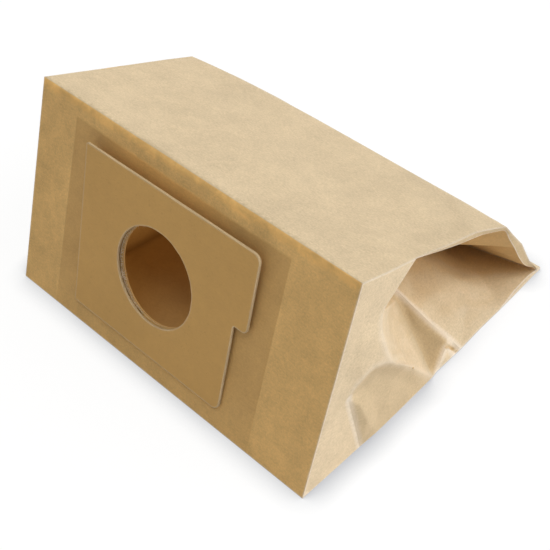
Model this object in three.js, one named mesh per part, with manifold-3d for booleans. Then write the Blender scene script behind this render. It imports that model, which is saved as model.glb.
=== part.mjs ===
// Vacuum dust bag: a folded two-ply kraft paper bag with a block bottom, side gussets and a card collar.
// It lies on its wide lower panel with the block bottom leaning back and the far end glued flat.
// Millimetres, +Z up. X runs across the bag, the block bottom faces -Y, and the origin is on the
// surface under the middle of the bag.

import * as THREE from 'three';
import { mergeVertices } from 'three/addons/utils/BufferGeometryUtils.js';
import Module from 'manifold-3d';

// Bag: driving sizes
const bagWidth = 240;
const bottomHeight = 136;
const bagDepth = 208;
const bottomLeanDeg = 23;
const topLength = 126.5;
const topSlopeDeg = 25.8;
const rearBelly = 3;
const hemLength = 5;
const hemThickness = 2.4;
const paperWall = 0.8;

// Side folds, the same on both sides: where the flat front of the side turns in as the gusset
const ridgeStart = 40;
const bendDrop = 24;
const bendBack = 25;
const kneeRise = 4;
const kneeBack = 41;
const tuckBack = 107;
const valleyStart = 80;
const closingLead = 12;

// Card collar plate, measured from the centre of its hole
const holeRadius = 30;
const holeOffset = -7.3;
const holeHeight = 65.5;
const plateLeft = 63;
const plateRight = 70.8;
const plateAbove = 54.5;
const plateBelow = 52.3;
const stepWidth = 9.6;
const stepHeight = 6;
const plateCorner = 5;
const stepCorner = 3.5;
const sharpCorner = 1.5;
const plateThickness = 1.6;
const plateLift = 5;

// Reinforcing patch glued inside the block bottom, round the same hole
const patchWidth = 167;
const patchHeight = 115;
const patchOffset = -5.6;
const patchTop = 126.5;
const patchThickness = 0.6;

// Clearances and mesh fineness
const seatGap = 0.3;
const cutMargin = 3;
const holeSegments = 72;
const cornerSegments = 6;
const bellySegments = 6;

const kraftOuter = new THREE.MeshStandardMaterial({ color: 0xd8be93, roughness: 0.9, metalness: 0 });
const card = new THREE.MeshStandardMaterial({ color: 0xa88a58, roughness: 0.85, metalness: 0 });
const kraftInner = new THREE.MeshStandardMaterial({ color: 0xa5844f, roughness: 0.9, metalness: 0 });

const wasm = await Module();
wasm.setup();

// A closed three.js geometry as a solid that can be joined and cut
function toSolid(geometry) {
  const bare = geometry.clone();
  bare.deleteAttribute('normal');
  bare.deleteAttribute('uv');
  const merged = mergeVertices(bare, 1e-4);
  return new wasm.Manifold(new wasm.Mesh({
    numProp: 3,
    vertProperties: new Float32Array(merged.attributes.position.array),
    triVerts: new Uint32Array(merged.index.array),
  }));
}

// A solid back to a three.js geometry
function toGeometry(solid) {
  const mesh = solid.getMesh();
  const geometry = new THREE.BufferGeometry();
  geometry.setAttribute('position', new THREE.BufferAttribute(new Float32Array(mesh.vertProperties), 3));
  geometry.setIndex(new THREE.BufferAttribute(new Uint32Array(mesh.triVerts), 1));
  geometry.computeVertexNormals();
  return geometry;
}

function degrees(angle) {
  return THREE.MathUtils.degToRad(angle);
}

// Points of the bag's side view are Vector2(depth from the block bottom's lower fold, height)

const lean = degrees(bottomLeanDeg);
const topSlope = degrees(topSlopeDeg);
const upFace = new THREE.Vector2(Math.sin(lean), Math.cos(lean));
const behindFace = new THREE.Vector2(Math.cos(lean), -Math.sin(lean));
const alongTop = new THREE.Vector2(Math.cos(topSlope), -Math.sin(topSlope));

const lowerFold = new THREE.Vector2(0, 0);
const upperFold = upFace.clone().multiplyScalar(bottomHeight);
const rearCrease = upperFold.clone().addScaledVector(alongTop, topLength);
const hemTop = new THREE.Vector2(bagDepth - hemLength, hemThickness);

// The rear panel bellies out a little between its crease and the hem, as an arc of few facets
function rearPanel(from, to, belly) {
  const chord = to.clone().sub(from);
  const outward = new THREE.Vector2(-chord.y, chord.x).normalize();
  const points = [];
  for (let i = 1; i < bellySegments; i += 1) {
    const t = i / bellySegments;
    const bulge = belly * 4 * t * (1 - t);
    points.push(from.clone().addScaledVector(chord, t).addScaledVector(outward, bulge));
  }
  return points;
}

// Moves each side of a closed outline inwards by the wall and finds its new corners
function insetOutline(outline, distance) {
  const count = outline.length;
  return outline.map((corner, i) => {
    const before = corner.clone().sub(outline[(i + count - 1) % count]).normalize();
    const after = outline[(i + 1) % count].clone().sub(corner).normalize();
    const inBefore = new THREE.Vector2(before.y, -before.x);
    const inAfter = new THREE.Vector2(after.y, -after.x);
    const mitre = inBefore.clone().add(inAfter);
    return corner.clone().addScaledVector(mitre, distance / (1 + inBefore.dot(inAfter)));
  });
}

// An outline of the side view pushed across the bag, centred on it
function acrossBag(outline, width) {
  const geometry = new THREE.ExtrudeGeometry(new THREE.Shape(outline), {
    depth: width,
    bevelEnabled: false,
    curveSegments: 1,
  });
  // Shape x is depth, shape y is height, and the extrusion runs along X
  geometry.applyMatrix4(new THREE.Matrix4().makeBasis(
    new THREE.Vector3(0, 1, 0),
    new THREE.Vector3(0, 0, 1),
    new THREE.Vector3(1, 0, 0),
  ));
  geometry.translate(-width / 2, -bagDepth / 2, 0);
  return toSolid(geometry);
}

// One gusset: the air that the side fold encloses, from the flat side in to its valley.
// Its mouth is the outline of the turned-in part of the side, and its valley runs back to the hem.
function gussetAir(side) {
  const halfPanel = bottomHeight / 2;
  const topCorner = upperFold.clone().addScaledVector(alongTop, ridgeStart);
  const drop = new THREE.Vector2(-alongTop.y, alongTop.x).negate();
  const land = (point) => point.clone().addScaledVector(drop, paperWall);
  const bend = upFace.clone().multiplyScalar(bottomHeight - bendDrop).addScaledVector(behindFace, bendBack);
  const knee = upFace.clone().multiplyScalar(halfPanel + kneeRise).addScaledVector(behindFace, kneeBack);
  const tuck = new THREE.Vector2(tuckBack, paperWall);
  const closing = new THREE.Vector2(hemTop.x, hemThickness / 2);
  const creaseInside = land(rearCrease);
  const rearInside = rearPanel(creaseInside, closing, rearBelly);

  // Anticlockwise in the side view, from the knee back along the surface and home along the top
  const mouth = [knee, tuck, closing, ...rearInside.reverse(), creaseInside, land(topCorner), bend];

  // A valley point lies as deep as the two halves of the gusset panel reach at that opening
  const valleyAt = (top, back) => {
    const bottom = new THREE.Vector2(back, 0);
    const middle = top.clone().add(bottom).multiplyScalar(0.5);
    const halfOpening = top.distanceTo(bottom) / 2;
    const reach = Math.sqrt(Math.max(halfPanel ** 2 - halfOpening ** 2, paperWall ** 2));
    return { point: middle, reach };
  };
  const valley = [
    valleyAt(upperFold.clone().addScaledVector(alongTop, valleyStart), valleyStart),
    valleyAt(rearCrease, topLength),
    { point: new THREE.Vector2(hemTop.x - closingLead, hemThickness / 2), reach: halfPanel },
  ];

  const vertices = [];
  const add = (point, reach) => {
    vertices.push(side * (bagWidth / 2 - reach), point.x - bagDepth / 2, point.y);
    return vertices.length / 3 - 1;
  };
  const outer = mouth.map((point) => add(point, -cutMargin));
  const inner = mouth.map((point) => add(point, 0));
  const [front, middle, back] = valley.map(({ point, reach }) => add(point, reach));

  const count = mouth.length;
  const faces = THREE.ShapeUtils.triangulateShape(mouth, []).map((cap) => cap.map((i) => outer[i]));
  for (let i = 0; i < count; i += 1) {
    const j = (i + 1) % count;
    faces.push([outer[i], inner[i], inner[j]], [outer[i], inner[j], outer[j]]);
  }
  const [kneeAt, tuckAt, closingAt] = inner;
  const rearAt = inner.slice(2, count - 2);
  const [creaseAt, topAt, bendAt] = inner.slice(count - 3);
  faces.push([kneeAt, bendAt, front], [bendAt, topAt, front]);
  faces.push([front, topAt, middle], [topAt, creaseAt, middle], [middle, creaseAt, back]);
  for (let i = 1; i < rearAt.length; i += 1) {
    faces.push([rearAt[i], rearAt[i - 1], back]);
  }
  faces.push([closingAt, tuckAt, back], [back, tuckAt, middle]);
  faces.push([middle, tuckAt, front], [tuckAt, kneeAt, front]);

  const geometry = new THREE.BufferGeometry();
  geometry.setAttribute('position', new THREE.BufferAttribute(new Float32Array(vertices), 3));
  // The faces point outwards on the right-hand side, so the left-hand ones are turned over
  geometry.setIndex(faces.flatMap(([p, q, r]) => (side > 0 ? [p, q, r] : [p, r, q])));
  return toSolid(geometry);
}

// The gusset's air with the paper round it: the air joined with copies moved by one wall
function gussetWithPaper(air, side) {
  // Sloping panels move straight up and down, so they need more than one wall to come out as thick
  const slopedWall = paperWall * 1.25;
  const moves = [
    [0, 0, slopedWall],
    [0, 0, -slopedWall],
    [-side * paperWall, 0, 0],
    [0, -paperWall, 0],
  ];
  return moves.reduce((solid, move) => solid.add(air.translate(move)), air);
}

// Places something drawn flat on the block bottom: x across, y up the leaning face, z out of it
function onBlockBottom(object, up, out, extraTilt) {
  object.rotation.x = Math.PI / 2 - lean + extraTilt;
  object.position.set(
    0,
    upFace.x * up - behindFace.x * out - bagDepth / 2,
    upFace.y * up - behindFace.y * out,
  );
  return object;
}

function bagBody() {
  const rear = rearPanel(rearCrease, hemTop, rearBelly);
  const hemEnd = [new THREE.Vector2(bagDepth, hemThickness), new THREE.Vector2(bagDepth, 0)];
  const outside = acrossBag([lowerFold, upperFold, rearCrease, ...rear, hemTop, ...hemEnd], bagWidth);

  const hemFloor = new THREE.Vector2(hemTop.x, 0);
  const panels = [lowerFold, upperFold, rearCrease, ...rear, hemTop, hemFloor];
  const roomInside = acrossBag(insetOutline(panels, paperWall), bagWidth - 2 * paperWall);

  const gussets = [-1, 1].map((side) => {
    const air = gussetAir(side);
    return { air, lined: gussetWithPaper(air, side) };
  });
  const cavity = gussets.reduce((solid, { lined }) => solid.subtract(lined), roomInside);
  const folded = gussets.reduce((solid, { air }) => solid.subtract(air), outside);

  const punchLength = 2 * (cutMargin + paperWall);
  const punch = new THREE.CylinderGeometry(holeRadius, holeRadius, punchLength, holeSegments);
  punch.rotateX(Math.PI / 2);
  const placed = onBlockBottom(new THREE.Object3D(), holeHeight, 0, 0);
  placed.updateMatrix();
  punch.translate(holeOffset, 0, 0);
  punch.applyMatrix4(placed.matrix);

  const paper = folded.subtract(cavity).subtract(toSolid(punch));
  const mesh = new THREE.Mesh(toGeometry(paper), kraftOuter);
  mesh.name = 'bag_body';
  return mesh;
}

// A closed outline through the corners, each rounded by its own radius
function roundedOutline(corners) {
  const shape = new THREE.Shape();
  const count = corners.length;
  corners.forEach(({ x, y, radius }, i) => {
    const here = new THREE.Vector2(x, y);
    const last = corners[(i + count - 1) % count];
    const next = corners[(i + 1) % count];
    const toLast = new THREE.Vector2(last.x, last.y).sub(here).normalize();
    const toNext = new THREE.Vector2(next.x, next.y).sub(here).normalize();
    const start = here.clone().addScaledVector(toLast, radius);
    const end = here.clone().addScaledVector(toNext, radius);
    if (i === 0) {
      shape.moveTo(start.x, start.y);
    } else {
      shape.lineTo(start.x, start.y);
    }
    // Every corner is square, so the arc's centre completes a square with the corner
    const centre = start.clone().add(end).sub(here);
    const from = Math.atan2(start.y - centre.y, start.x - centre.x);
    const to = Math.atan2(end.y - centre.y, end.x - centre.x);
    const clockwise = toLast.cross(toNext) > 0;
    shape.absarc(centre.x, centre.y, radius, from, to, clockwise);
  });
  shape.closePath();
  return shape;
}

function collarPlate() {
  const outline = roundedOutline([
    { x: -plateLeft, y: -plateBelow, radius: sharpCorner },
    { x: plateRight - stepWidth, y: -plateBelow, radius: plateCorner },
    { x: plateRight - stepWidth, y: stepHeight, radius: sharpCorner },
    { x: plateRight, y: stepHeight, radius: stepCorner },
    { x: plateRight, y: plateAbove, radius: plateCorner },
    { x: -plateLeft, y: plateAbove, radius: sharpCorner },
  ]);
  const points = outline.getPoints(cornerSegments);
  const plateShape = new THREE.Shape(points);
  const hole = new THREE.Path();
  hole.absarc(0, 0, holeRadius, 0, 2 * Math.PI, true);
  plateShape.holes.push(hole);
  const geometry = new THREE.ExtrudeGeometry(plateShape, {
    depth: plateThickness,
    bevelEnabled: false,
    curveSegments: holeSegments / 2,
  });
  // The plate turns about its lower edge, where its back meets the paper
  geometry.translate(holeOffset, plateBelow, 0);
  const mesh = new THREE.Mesh(geometry, card);
  mesh.name = 'collar_plate';
  const tilt = Math.asin(plateLift / (plateAbove + plateBelow));
  return onBlockBottom(mesh, holeHeight - plateBelow, seatGap, tilt);
}

function innerPatch() {
  const patchShape = new THREE.Shape();
  const left = patchOffset - patchWidth / 2;
  const bottom = patchTop - patchHeight;
  patchShape.moveTo(left, bottom);
  patchShape.lineTo(left + patchWidth, bottom);
  patchShape.lineTo(left + patchWidth, patchTop);
  patchShape.lineTo(left, patchTop);
  patchShape.closePath();
  const hole = new THREE.Path();
  hole.absarc(holeOffset, holeHeight, holeRadius, 0, 2 * Math.PI, true);
  patchShape.holes.push(hole);
  const geometry = new THREE.ExtrudeGeometry(patchShape, {
    depth: patchThickness,
    bevelEnabled: false,
    curveSegments: holeSegments / 2,
  });
  const mesh = new THREE.Mesh(geometry, kraftInner);
  mesh.name = 'inner_patch';
  return onBlockBottom(mesh, 0, -(paperWall + seatGap + patchThickness), 0);
}

const dustBag = new THREE.Group();
dustBag.add(bagBody(), collarPlate(), innerPatch());

export default dustBag;
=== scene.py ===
"""Vacuum dust bag: a folded kraft paper bag with side gussets and a card collar, finished to look at."""

import math

import bmesh
import bpy
import numpy as np
from bpy.props import FloatProperty, FloatVectorProperty, IntProperty, PointerProperty
from mathutils import Euler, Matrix, Vector, bvhtree, kdtree, noise
from mathutils.geometry import delaunay_2d_cdt


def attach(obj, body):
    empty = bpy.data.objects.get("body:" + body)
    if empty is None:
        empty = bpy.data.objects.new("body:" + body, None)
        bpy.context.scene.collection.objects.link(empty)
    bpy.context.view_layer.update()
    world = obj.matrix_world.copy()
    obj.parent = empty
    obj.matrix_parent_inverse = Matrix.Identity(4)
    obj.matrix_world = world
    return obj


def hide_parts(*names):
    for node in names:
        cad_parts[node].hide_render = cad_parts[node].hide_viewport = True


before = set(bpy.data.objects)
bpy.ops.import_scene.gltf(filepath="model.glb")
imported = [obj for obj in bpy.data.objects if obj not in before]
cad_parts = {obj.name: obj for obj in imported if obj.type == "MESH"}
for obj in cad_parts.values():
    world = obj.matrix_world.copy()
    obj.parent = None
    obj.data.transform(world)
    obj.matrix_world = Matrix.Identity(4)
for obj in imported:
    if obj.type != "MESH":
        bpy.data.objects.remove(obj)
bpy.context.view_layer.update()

bl_info = {
    "name": "Vacuum dust bag",
    "version": (1, 0, 0),
    "blender": (4, 5, 0),
    "location": "3D View > Sidebar > Dust Bag",
    "description": "Folds a kraft paper dust bag and finishes its card collar",
    "category": "Add Mesh",
}

MM = 0.001

# Panels of the folded paper. A facet lies under each side's arch, a pocket wall climbs behind it to
# the crest, and the gusset's upper half is the underside
FRONT, TOP, REAR, BOTTOM, SIDE, FACET, POCKET, GUSSET, UNDERSIDE, LIP, HEM = range(11)

# What a line between two facets is: a factory fold, the rounded upper fold, a pressed line,
# a crisp crumple, a soft ridge, the bottom of a hollow or of a dent, or the cut rim
FOLD, BROW, PRESSED, CREASE = "fold", "brow", "pressed", "crease"
RIDGE, TROUGH, DENT, CUT = "ridge", "trough", "dent", "cut"


class DustBagPaper(bpy.types.PropertyGroup):
    width: FloatProperty(
        name="Width", description="Bag's width across the block bottom", default=0.240, unit="LENGTH"
    )
    depth: FloatProperty(
        name="Depth", description="Length of the lower panel", default=0.208, unit="LENGTH"
    )
    bottom_height: FloatProperty(
        name="Block bottom", description="Height of the block bottom along its slope", default=0.136,
        unit="LENGTH"
    )
    lean: FloatProperty(
        name="Lean", description="How far the block bottom leans back", default=math.radians(23),
        subtype="ANGLE"
    )
    top_slope: FloatProperty(
        name="Top slope", description="How steeply the upper panel falls", default=math.radians(25.8),
        subtype="ANGLE"
    )
    wall: FloatProperty(
        name="Paper", description="Thickness of the two plies together", default=0.0005, unit="LENGTH"
    )
    coarse_step: FloatProperty(
        name="Mesh step", description="Longest mesh edge on the plain panels", default=0.0052, unit="LENGTH"
    )
    fine_step: FloatProperty(
        name="Fine mesh step", description="Longest mesh edge on the creased side", default=0.0028,
        unit="LENGTH"
    )
    waviness: FloatProperty(
        name="Waviness", description="Height of the panels' slow waves", default=0.0008, unit="LENGTH"
    )
    upper_colour: FloatVectorProperty(
        name="Kraft", description="Outer kraft paper", default=(0.615, 0.482, 0.308), subtype="COLOR"
    )
    # Painted shade: deeper, more saturated kraft mixed in where the folds hide the sky
    painted_shade_colour: FloatVectorProperty(
        name="Sheltered kraft", description="Kraft paper deep in the folds, where it hasn't faded",
        default=(0.54, 0.375, 0.185), subtype="COLOR"
    )
    # Painted shade: the darkest, most saturated kraft, mixed in where the folds hide the most sky
    painted_deep_shade_colour: FloatVectorProperty(
        name="Inmost kraft", description="Kraft paper at the very back of the gussets",
        default=(0.68, 0.43, 0.175), subtype="COLOR"
    )
    block_colour: FloatVectorProperty(
        name="Block bottom", description="Paper of the block bottom", default=(0.685, 0.430, 0.163),
        subtype="COLOR"
    )
    patched_colour: FloatVectorProperty(
        name="Patched paper", description="Block bottom where the inner patch shows through",
        default=(0.565, 0.342, 0.124), subtype="COLOR"
    )
    lining_colour: FloatVectorProperty(
        name="Lining", description="Inner ply of the paper", default=(0.50, 0.345, 0.16), subtype="COLOR"
    )
    # Painted light: the lining glows, standing in for light from outside coming through the paper
    lining_painted_glow: FloatVectorProperty(
        name="Lining glow", description="Daylight that comes through the paper",
        default=(0.108, 0.055, 0.013), subtype="COLOR"
    )


class DustBagCollar(bpy.types.PropertyGroup):
    hole_radius: FloatProperty(
        name="Hole radius", description="Radius of the inlet hole", default=0.030, unit="LENGTH"
    )
    hole_offset: FloatProperty(
        name="Hole offset", description="Hole's place across the bag", default=-0.0073, unit="LENGTH"
    )
    hole_height: FloatProperty(
        name="Hole height", description="Hole's place up the block bottom", default=0.0655, unit="LENGTH"
    )
    thickness: FloatProperty(
        name="Card", description="Thickness of the card", default=0.0016, unit="LENGTH"
    )
    lift_left: FloatProperty(
        name="Left lift", description="How far the upper left corner stands off", default=0.0050,
        unit="LENGTH"
    )
    lift_right: FloatProperty(
        name="Right lift", description="How far the upper right corner stands off", default=0.0034,
        unit="LENGTH"
    )
    card_colour: FloatVectorProperty(
        name="Card", description="Face of the card", default=(0.575, 0.338, 0.108), subtype="COLOR"
    )
    cut_colour: FloatVectorProperty(
        name="Cut edge", description="Cut edge of the card", default=(0.66, 0.50, 0.29), subtype="COLOR"
    )
    fibre_count: IntProperty(
        name="Fibres", description="Loose fibres round the rim of the hole", default=240
    )
    fibre_length: FloatProperty(
        name="Fibre length", description="Length of the longest fibres", default=0.0032, unit="LENGTH"
    )


class DustBagStage(bpy.types.PropertyGroup):
    camera_place: FloatVectorProperty(
        name="Camera", description="Where the camera stands", default=(0.3550, -0.2997, 0.5254),
        subtype="TRANSLATION"
    )
    camera_turn: FloatVectorProperty(
        name="Camera angles", description="How the camera is turned",
        default=(0.7176445, 0.0870860, 0.7731425), subtype="EULER"
    )
    focal_length: FloatProperty(
        name="Focal length", description="Lens in millimetres", default=74.694
    )
    upper_direction: FloatVectorProperty(
        name="Upper light's side", description="Where the wide light overhead comes from",
        default=(0.10, 0.04, 0.99), subtype="DIRECTION"
    )
    upper_strength: FloatProperty(
        name="Upper light", description="Strength of the wide light overhead", default=1.2
    )
    side_direction: FloatVectorProperty(
        name="Side light's side", description="Where the light at the bag's side comes from",
        default=(0.74, 0.54, 0.38), subtype="DIRECTION"
    )
    side_strength: FloatProperty(
        name="Side light", description="Strength of the light at the bag's side", default=2.45
    )
    light_width: FloatProperty(
        name="Softness", description="Width of both lights in the sky", default=math.radians(55),
        subtype="ANGLE"
    )
    sky_strength: FloatProperty(
        name="Room light", description="Strength of the even light all round", default=0.35
    )
    floor_share: FloatProperty(
        name="Floor shadow", description="How much of the floor's real shading the camera sees", default=0.14
    )
    floor_lift: FloatProperty(
        name="Floor lift", description="What brings the pale floor up to white for the camera", default=0.90
    )
    floor_colour: FloatVectorProperty(
        name="Floor", description="Pale floor", default=(0.82, 0.82, 0.82), subtype="COLOR"
    )


class Wire:
    """A shader socket whose arithmetic adds Math nodes."""

    def __init__(self, tree, socket):
        self.tree = tree
        self.socket = socket

    def maths(self, operation, *others):
        node = self.tree.nodes.new("ShaderNodeMath")
        node.operation = operation
        for place, value in enumerate((self,) + others):
            join(self.tree, node.inputs[place], value)
        return Wire(self.tree, node.outputs[0])

    def __add__(self, other):
        return self.maths("ADD", other)

    def __sub__(self, other):
        return self.maths("SUBTRACT", other)

    def __mul__(self, other):
        return self.maths("MULTIPLY", other)

    def __truediv__(self, other):
        return self.maths("DIVIDE", other)

    def __rsub__(self, other):
        return self * -1.0 + other

    def __rtruediv__(self, other):
        return self.maths("POWER", -1.0) * other

    __radd__ = __add__
    __rmul__ = __mul__

    def clamped(self):
        return self.maths("MAXIMUM", 0.0).maths("MINIMUM", 1.0)

    def sine(self):
        return self.maths("SINE")


def join(tree, socket, value):
    """Links a wire to an input socket, or sets the socket to a plain value."""
    if isinstance(value, Wire):
        tree.links.new(value.socket, socket)
    else:
        socket.default_value = value


class Finish:
    """A material being made, with one method that adds any node."""

    def __init__(self, name):
        self.material = bpy.data.materials.new(name)
        self.material.use_nodes = True
        self.tree = self.material.node_tree
        self.tree.nodes.clear()
        self.place = self.node("ShaderNodeTexCoord", output="Object")

    def node(self, kind, settings=None, inputs=None, output=0):
        node = self.tree.nodes.new(kind)
        for name, value in (settings or {}).items():
            setattr(node, name, value)
        for name, value in (inputs or {}).items():
            join(self.tree, node.inputs[name], value)
        return Wire(self.tree, node.outputs[output])

    def attribute(self, name):
        return self.node("ShaderNodeAttribute", {"attribute_name": name}, output="Fac")

    def axis(self, coordinates, name):
        return self.node("ShaderNodeSeparateXYZ", inputs={"Vector": coordinates}, output=name)

    def scaled(self, coordinates, scale):
        return self.node("ShaderNodeMapping", inputs={"Vector": coordinates, "Scale": scale})

    def grain(self, coordinates, scale, detail=2.0, roughness=0.55, distortion=0.0):
        """Noise round zero, about -0.5 to 0.5."""
        return self.node(
            "ShaderNodeTexNoise",
            inputs={
                "Vector": coordinates,
                "Scale": scale,
                "Detail": detail,
                "Roughness": roughness,
                "Distortion": distortion,
            },
            output="Fac",
        ) - 0.5

    def mixed(self, share, first, second, blend="MIX"):
        return self.node(
            "ShaderNodeMix",
            {"data_type": "RGBA", "blend_type": blend, "clamp_factor": True},
            {0: share, 6: first, 7: second},
            output=2,
        )

    def done(self, colour, roughness, height, height_scale, glow=None):
        relief = self.node(
            "ShaderNodeBump",
            inputs={"Strength": 1.0, "Distance": height_scale, "Height": height},
            output="Normal",
        )
        inputs = {
            "Base Color": colour,
            "Roughness": roughness,
            "Specular IOR Level": 0.3,
            "Normal": relief,
        }
        if glow is not None:
            inputs["Emission Color"] = glow
            inputs["Emission Strength"] = 1.0
        shader = self.node("ShaderNodeBsdfPrincipled", inputs=inputs)
        end = self.tree.nodes.new("ShaderNodeOutputMaterial")
        self.tree.links.new(shader.socket, end.inputs["Surface"])
        return self.material


def shade(colour, factor):
    """The colour made lighter or darker, with its alpha."""
    return tuple(min(1.0, part * factor) for part in colour[:3]) + (1.0,)


class FoldNet:
    """The folded paper's corners, facets and fold lines, in millimetres."""

    def __init__(self):
        self.index = {}
        self.points = []
        self.facets = []
        self.lines = {}

    def add(self, name, place):
        if name not in self.index:
            self.index[name] = len(self.points)
            self.points.append(tuple(float(part) for part in place))
        return name

    def at(self, name):
        return self.points[self.index[name]]

    def facet(self, panel, *names):
        for second, third in zip(names[1:], names[2:]):
            self.facets.append((self.index[names[0]], self.index[second], self.index[third], panel))

    def line(self, kind, *names):
        for first, second in zip(names, names[1:]):
            pair = sorted((self.index[first], self.index[second]))
            self.lines[tuple(pair)] = kind

    def region(self, panel, outline, flat, inside=(), hole=()):
        """Fills an outline with facets, laid out by flat, a function from a point to two numbers."""
        names = list(outline) + list(hole) + list(inside)
        layout = [Vector(flat(self.at(name))) for name in names]
        loops = [range(len(outline)), range(len(outline), len(outline) + len(hole))]
        edges = [(loop[i], loop[(i + 1) % len(loop)]) for loop in loops for i in range(len(loop))]
        verts, _, faces, origins, _, _ = delaunay_2d_cdt(layout, edges, [], 0, 1e-5)
        if len(verts) != len(names):
            raise RuntimeError("the outline of panel %s crosses itself" % panel)
        rim = layout[:len(outline)]
        gap = layout[len(outline):len(outline) + len(hole)]
        for face in faces:
            middle = sum((verts[i] for i in face), Vector((0, 0))) / 3
            if inside_loop(middle, rim) and not inside_loop(middle, gap):
                self.facet(panel, *(names[origins[i][0]] for i in face))


def inside_loop(point, loop):
    """Whether a flat point lies inside a closed loop."""
    crossings = 0
    for first, second in zip(loop, list(loop[1:]) + list(loop[:1])):
        if (first.y > point.y) != (second.y > point.y):
            reach = first.x + (point.y - first.y) / (second.y - first.y) * (second.x - first.x)
            crossings += reach > point.x
    return crossings % 2 == 1


# Creased side, seen from outside: depth from the block bottom, height, and distance in from the side
NEAR_SIDE = {
    "low_a": (28, 0, -1.0),
    "crease_foot": (43.5, 0, -1.5),
    "wedge_foot": (57, 0, -2.3),
    "low_b": (76, 0, -2.3),
    "low_c": (92, 0, -2.1),
    "pinch": (104.5, 0.2, -2.0),
    "tuck_low": (108.9, 0.2, -1.3),
    "tuck_foot": (124.3, 0.2, -1.5),
    "ridge_foot": (130.0, 0.2, -1.6),
    "low_d": (149, 0, -0.8),
    "low_e": (168, 0, -0.8),
    "low_f": (187, 0, -0.5),
    "hem_low": (203, 0, 0),
    "crease_top": (37.4, 51.4, -1.5),
    "arch_a": (41.3, 56.9, -2.6),
    "arch_b": (45.7, 60.9, -3.6),
    "arch_c": (52.6, 63.9, -4.2),
    "knee": (60.9, 60.0, -4.2),
    "arch_d": (68.0, 53.0, -4.0),
    "arch_e": (75.6, 43.4, -3.5),
    "arch_f": (89.8, 23.5, -2.6),
    "belly_a": (52, 46, 0.6),
    "belly_b": (61, 45, 0.6),
    "belly_c": (70, 35, 0.4),
    "belly_d": (82, 19, -0.2),
    "wedge": (48.0, 23, -4.6),
    "wedge_top": (43.8, 42, -3.4),
    "wedge_side": (57.0, 26, -0.6),
    "ridge_corner": (64.5, 64.3, -3.8),
    "shoulder_low": (62.3, 78.2, -3.2),
    "shoulder_high": (63.1, 84.0, -1.5),
    "bend": (66.2, 93.4, -0.3),
    "flat_mid": (48, 92, -0.6),
    "flat_low": (22, 40, -0.6),
    "edge_a": (71.6, 116.8, 0.3),
    "mouth_top": (92.6, 108.3, 0.7),
    "edge_b": (104.9, 102.6, 1.0),
    "edge_c": (118.5, 95.2, 1.6),
    "edge_d": (142.5, 84.5, 2.2),
    "edge_e": (154.3, 77.8, 1.4),
    "rear_corner": (168.0, 69.3, 0.3),
    "lip_b": (112.6, 95.7, 2.0),
    "lip_c": (129.0, 86.4, 2.6),
    "lip_d": (150.4, 75.9, 3.0),
    "lip_e": (169.2, 65.6, 1.2),
    "rear_a": (172.7, 61.3, 0),
    "rear_b": (178.0, 52.3, 0),
    "rear_c": (185.0, 41.7, 0),
    "rear_d": (190.2, 29.5, 0),
    "rear_e": (196.0, 16.4, 0),
    "rear_f": (201.5, 8.3, 0),
    "hem_top": (204.6, 3.0, 0),
    "pressed_b": (172.4, 56.0, 0.8),
    "pressed_c": (178.6, 43.6, 0.8),
    "pressed_d": (184.8, 29.6, 0.9),
    "pressed_e": (190.2, 19.4, 1.0),
    "pressed_f": (195.2, 12.6, 1.2),
    "pressed_g": (203.0, 5.0, 1.8),
    "closing": (204.6, 1.5, 0.6),
    "closing_mid": (194.5, 1.5, 46),
    "valley_a": (104.5, 57, 45),
    "valley_b": (145, 38, 54),
    "valley_c": (189, 1.7, 68),
    "floor_line_a": (184.2, 1.0, 1.1),
    "floor_line_b": (199.0, 1.1, 1.7),
    "crest_a": (112.3, 43.4, 30),
    "crest_b": (116.6, 31.8, 21.3),
    "crest_c": (121.0, 20.4, 13.2),
    "crest_d": (125.7, 10.6, 5.5),
    "crest_e": (127.8, 5.7, 2.0),
    "tuck": (122.2, 7.5, 2.6),
    "tuck_mid": (115.0, 4.2, 0.5),
    "notch": (126.0, 1.1, 1.5),
    "trough_a": (110.0, 38.6, 28.5),
    "trough_b": (111.1, 26.3, 23.3),
    "trough_c": (111.0, 16.4, 17.0),
    "trough_d": (109.5, 9.1, 11.0),
    "trough_e": (107.0, 4.0, 4.6),
    "hollow_a": (88.9, 57.2, 15.5),
    "hollow_b": (89.0, 43.7, 13.0),
    "hollow_c": (88.9, 34.5, 8.5),
    "hollow_d": (91.0, 27.8, 5.0),
    "hollow_e": (93.2, 21.7, 1.6),
    "lower_a": (158, 17.5, 24),
    "lower_b": (177.4, 5.2, 20),
    "lower_c": (172, 3.0, 8),
    "lower_d": (150, 8.5, 10),
    "lower_e": (180, 4.4, 40),
}

# Far side: the same folds, with its rear corner a little further forward
FAR_SIDE = dict(
    NEAR_SIDE,
    edge_a=(71.6, 116.4, 0.2),
    mouth_top=(92.0, 106.6, 0.4),
    edge_b=(104.9, 100.5, 0.6),
    edge_c=(118.5, 94.1, 0.8),
    edge_d=(138.5, 84.6, 1.0),
    edge_e=(149.3, 79.0, 0.8),
    rear_corner=(158.2, 74.3, 0.3),
    lip_c=(127.0, 86.6, 2.2),
    lip_d=(144.4, 77.9, 2.4),
    lip_e=(160.6, 69.4, 1.2),
    rear_a=(165.0, 65.6, 0),
    rear_b=(171.8, 56.0, 0),
    rear_c=(179.6, 44.2, 0),
    rear_d=(186.8, 31.0, 0),
    rear_e=(193.8, 17.4, 0),
    rear_f=(200.3, 8.4, 0),
    pressed_b=(166.4, 59.4, 0.8),
    pressed_c=(173.6, 47.0, 0.8),
    pressed_d=(181.2, 31.8, 0.9),
    pressed_e=(187.6, 20.8, 1.0),
    pressed_f=(194.0, 12.6, 1.2),
)

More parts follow.
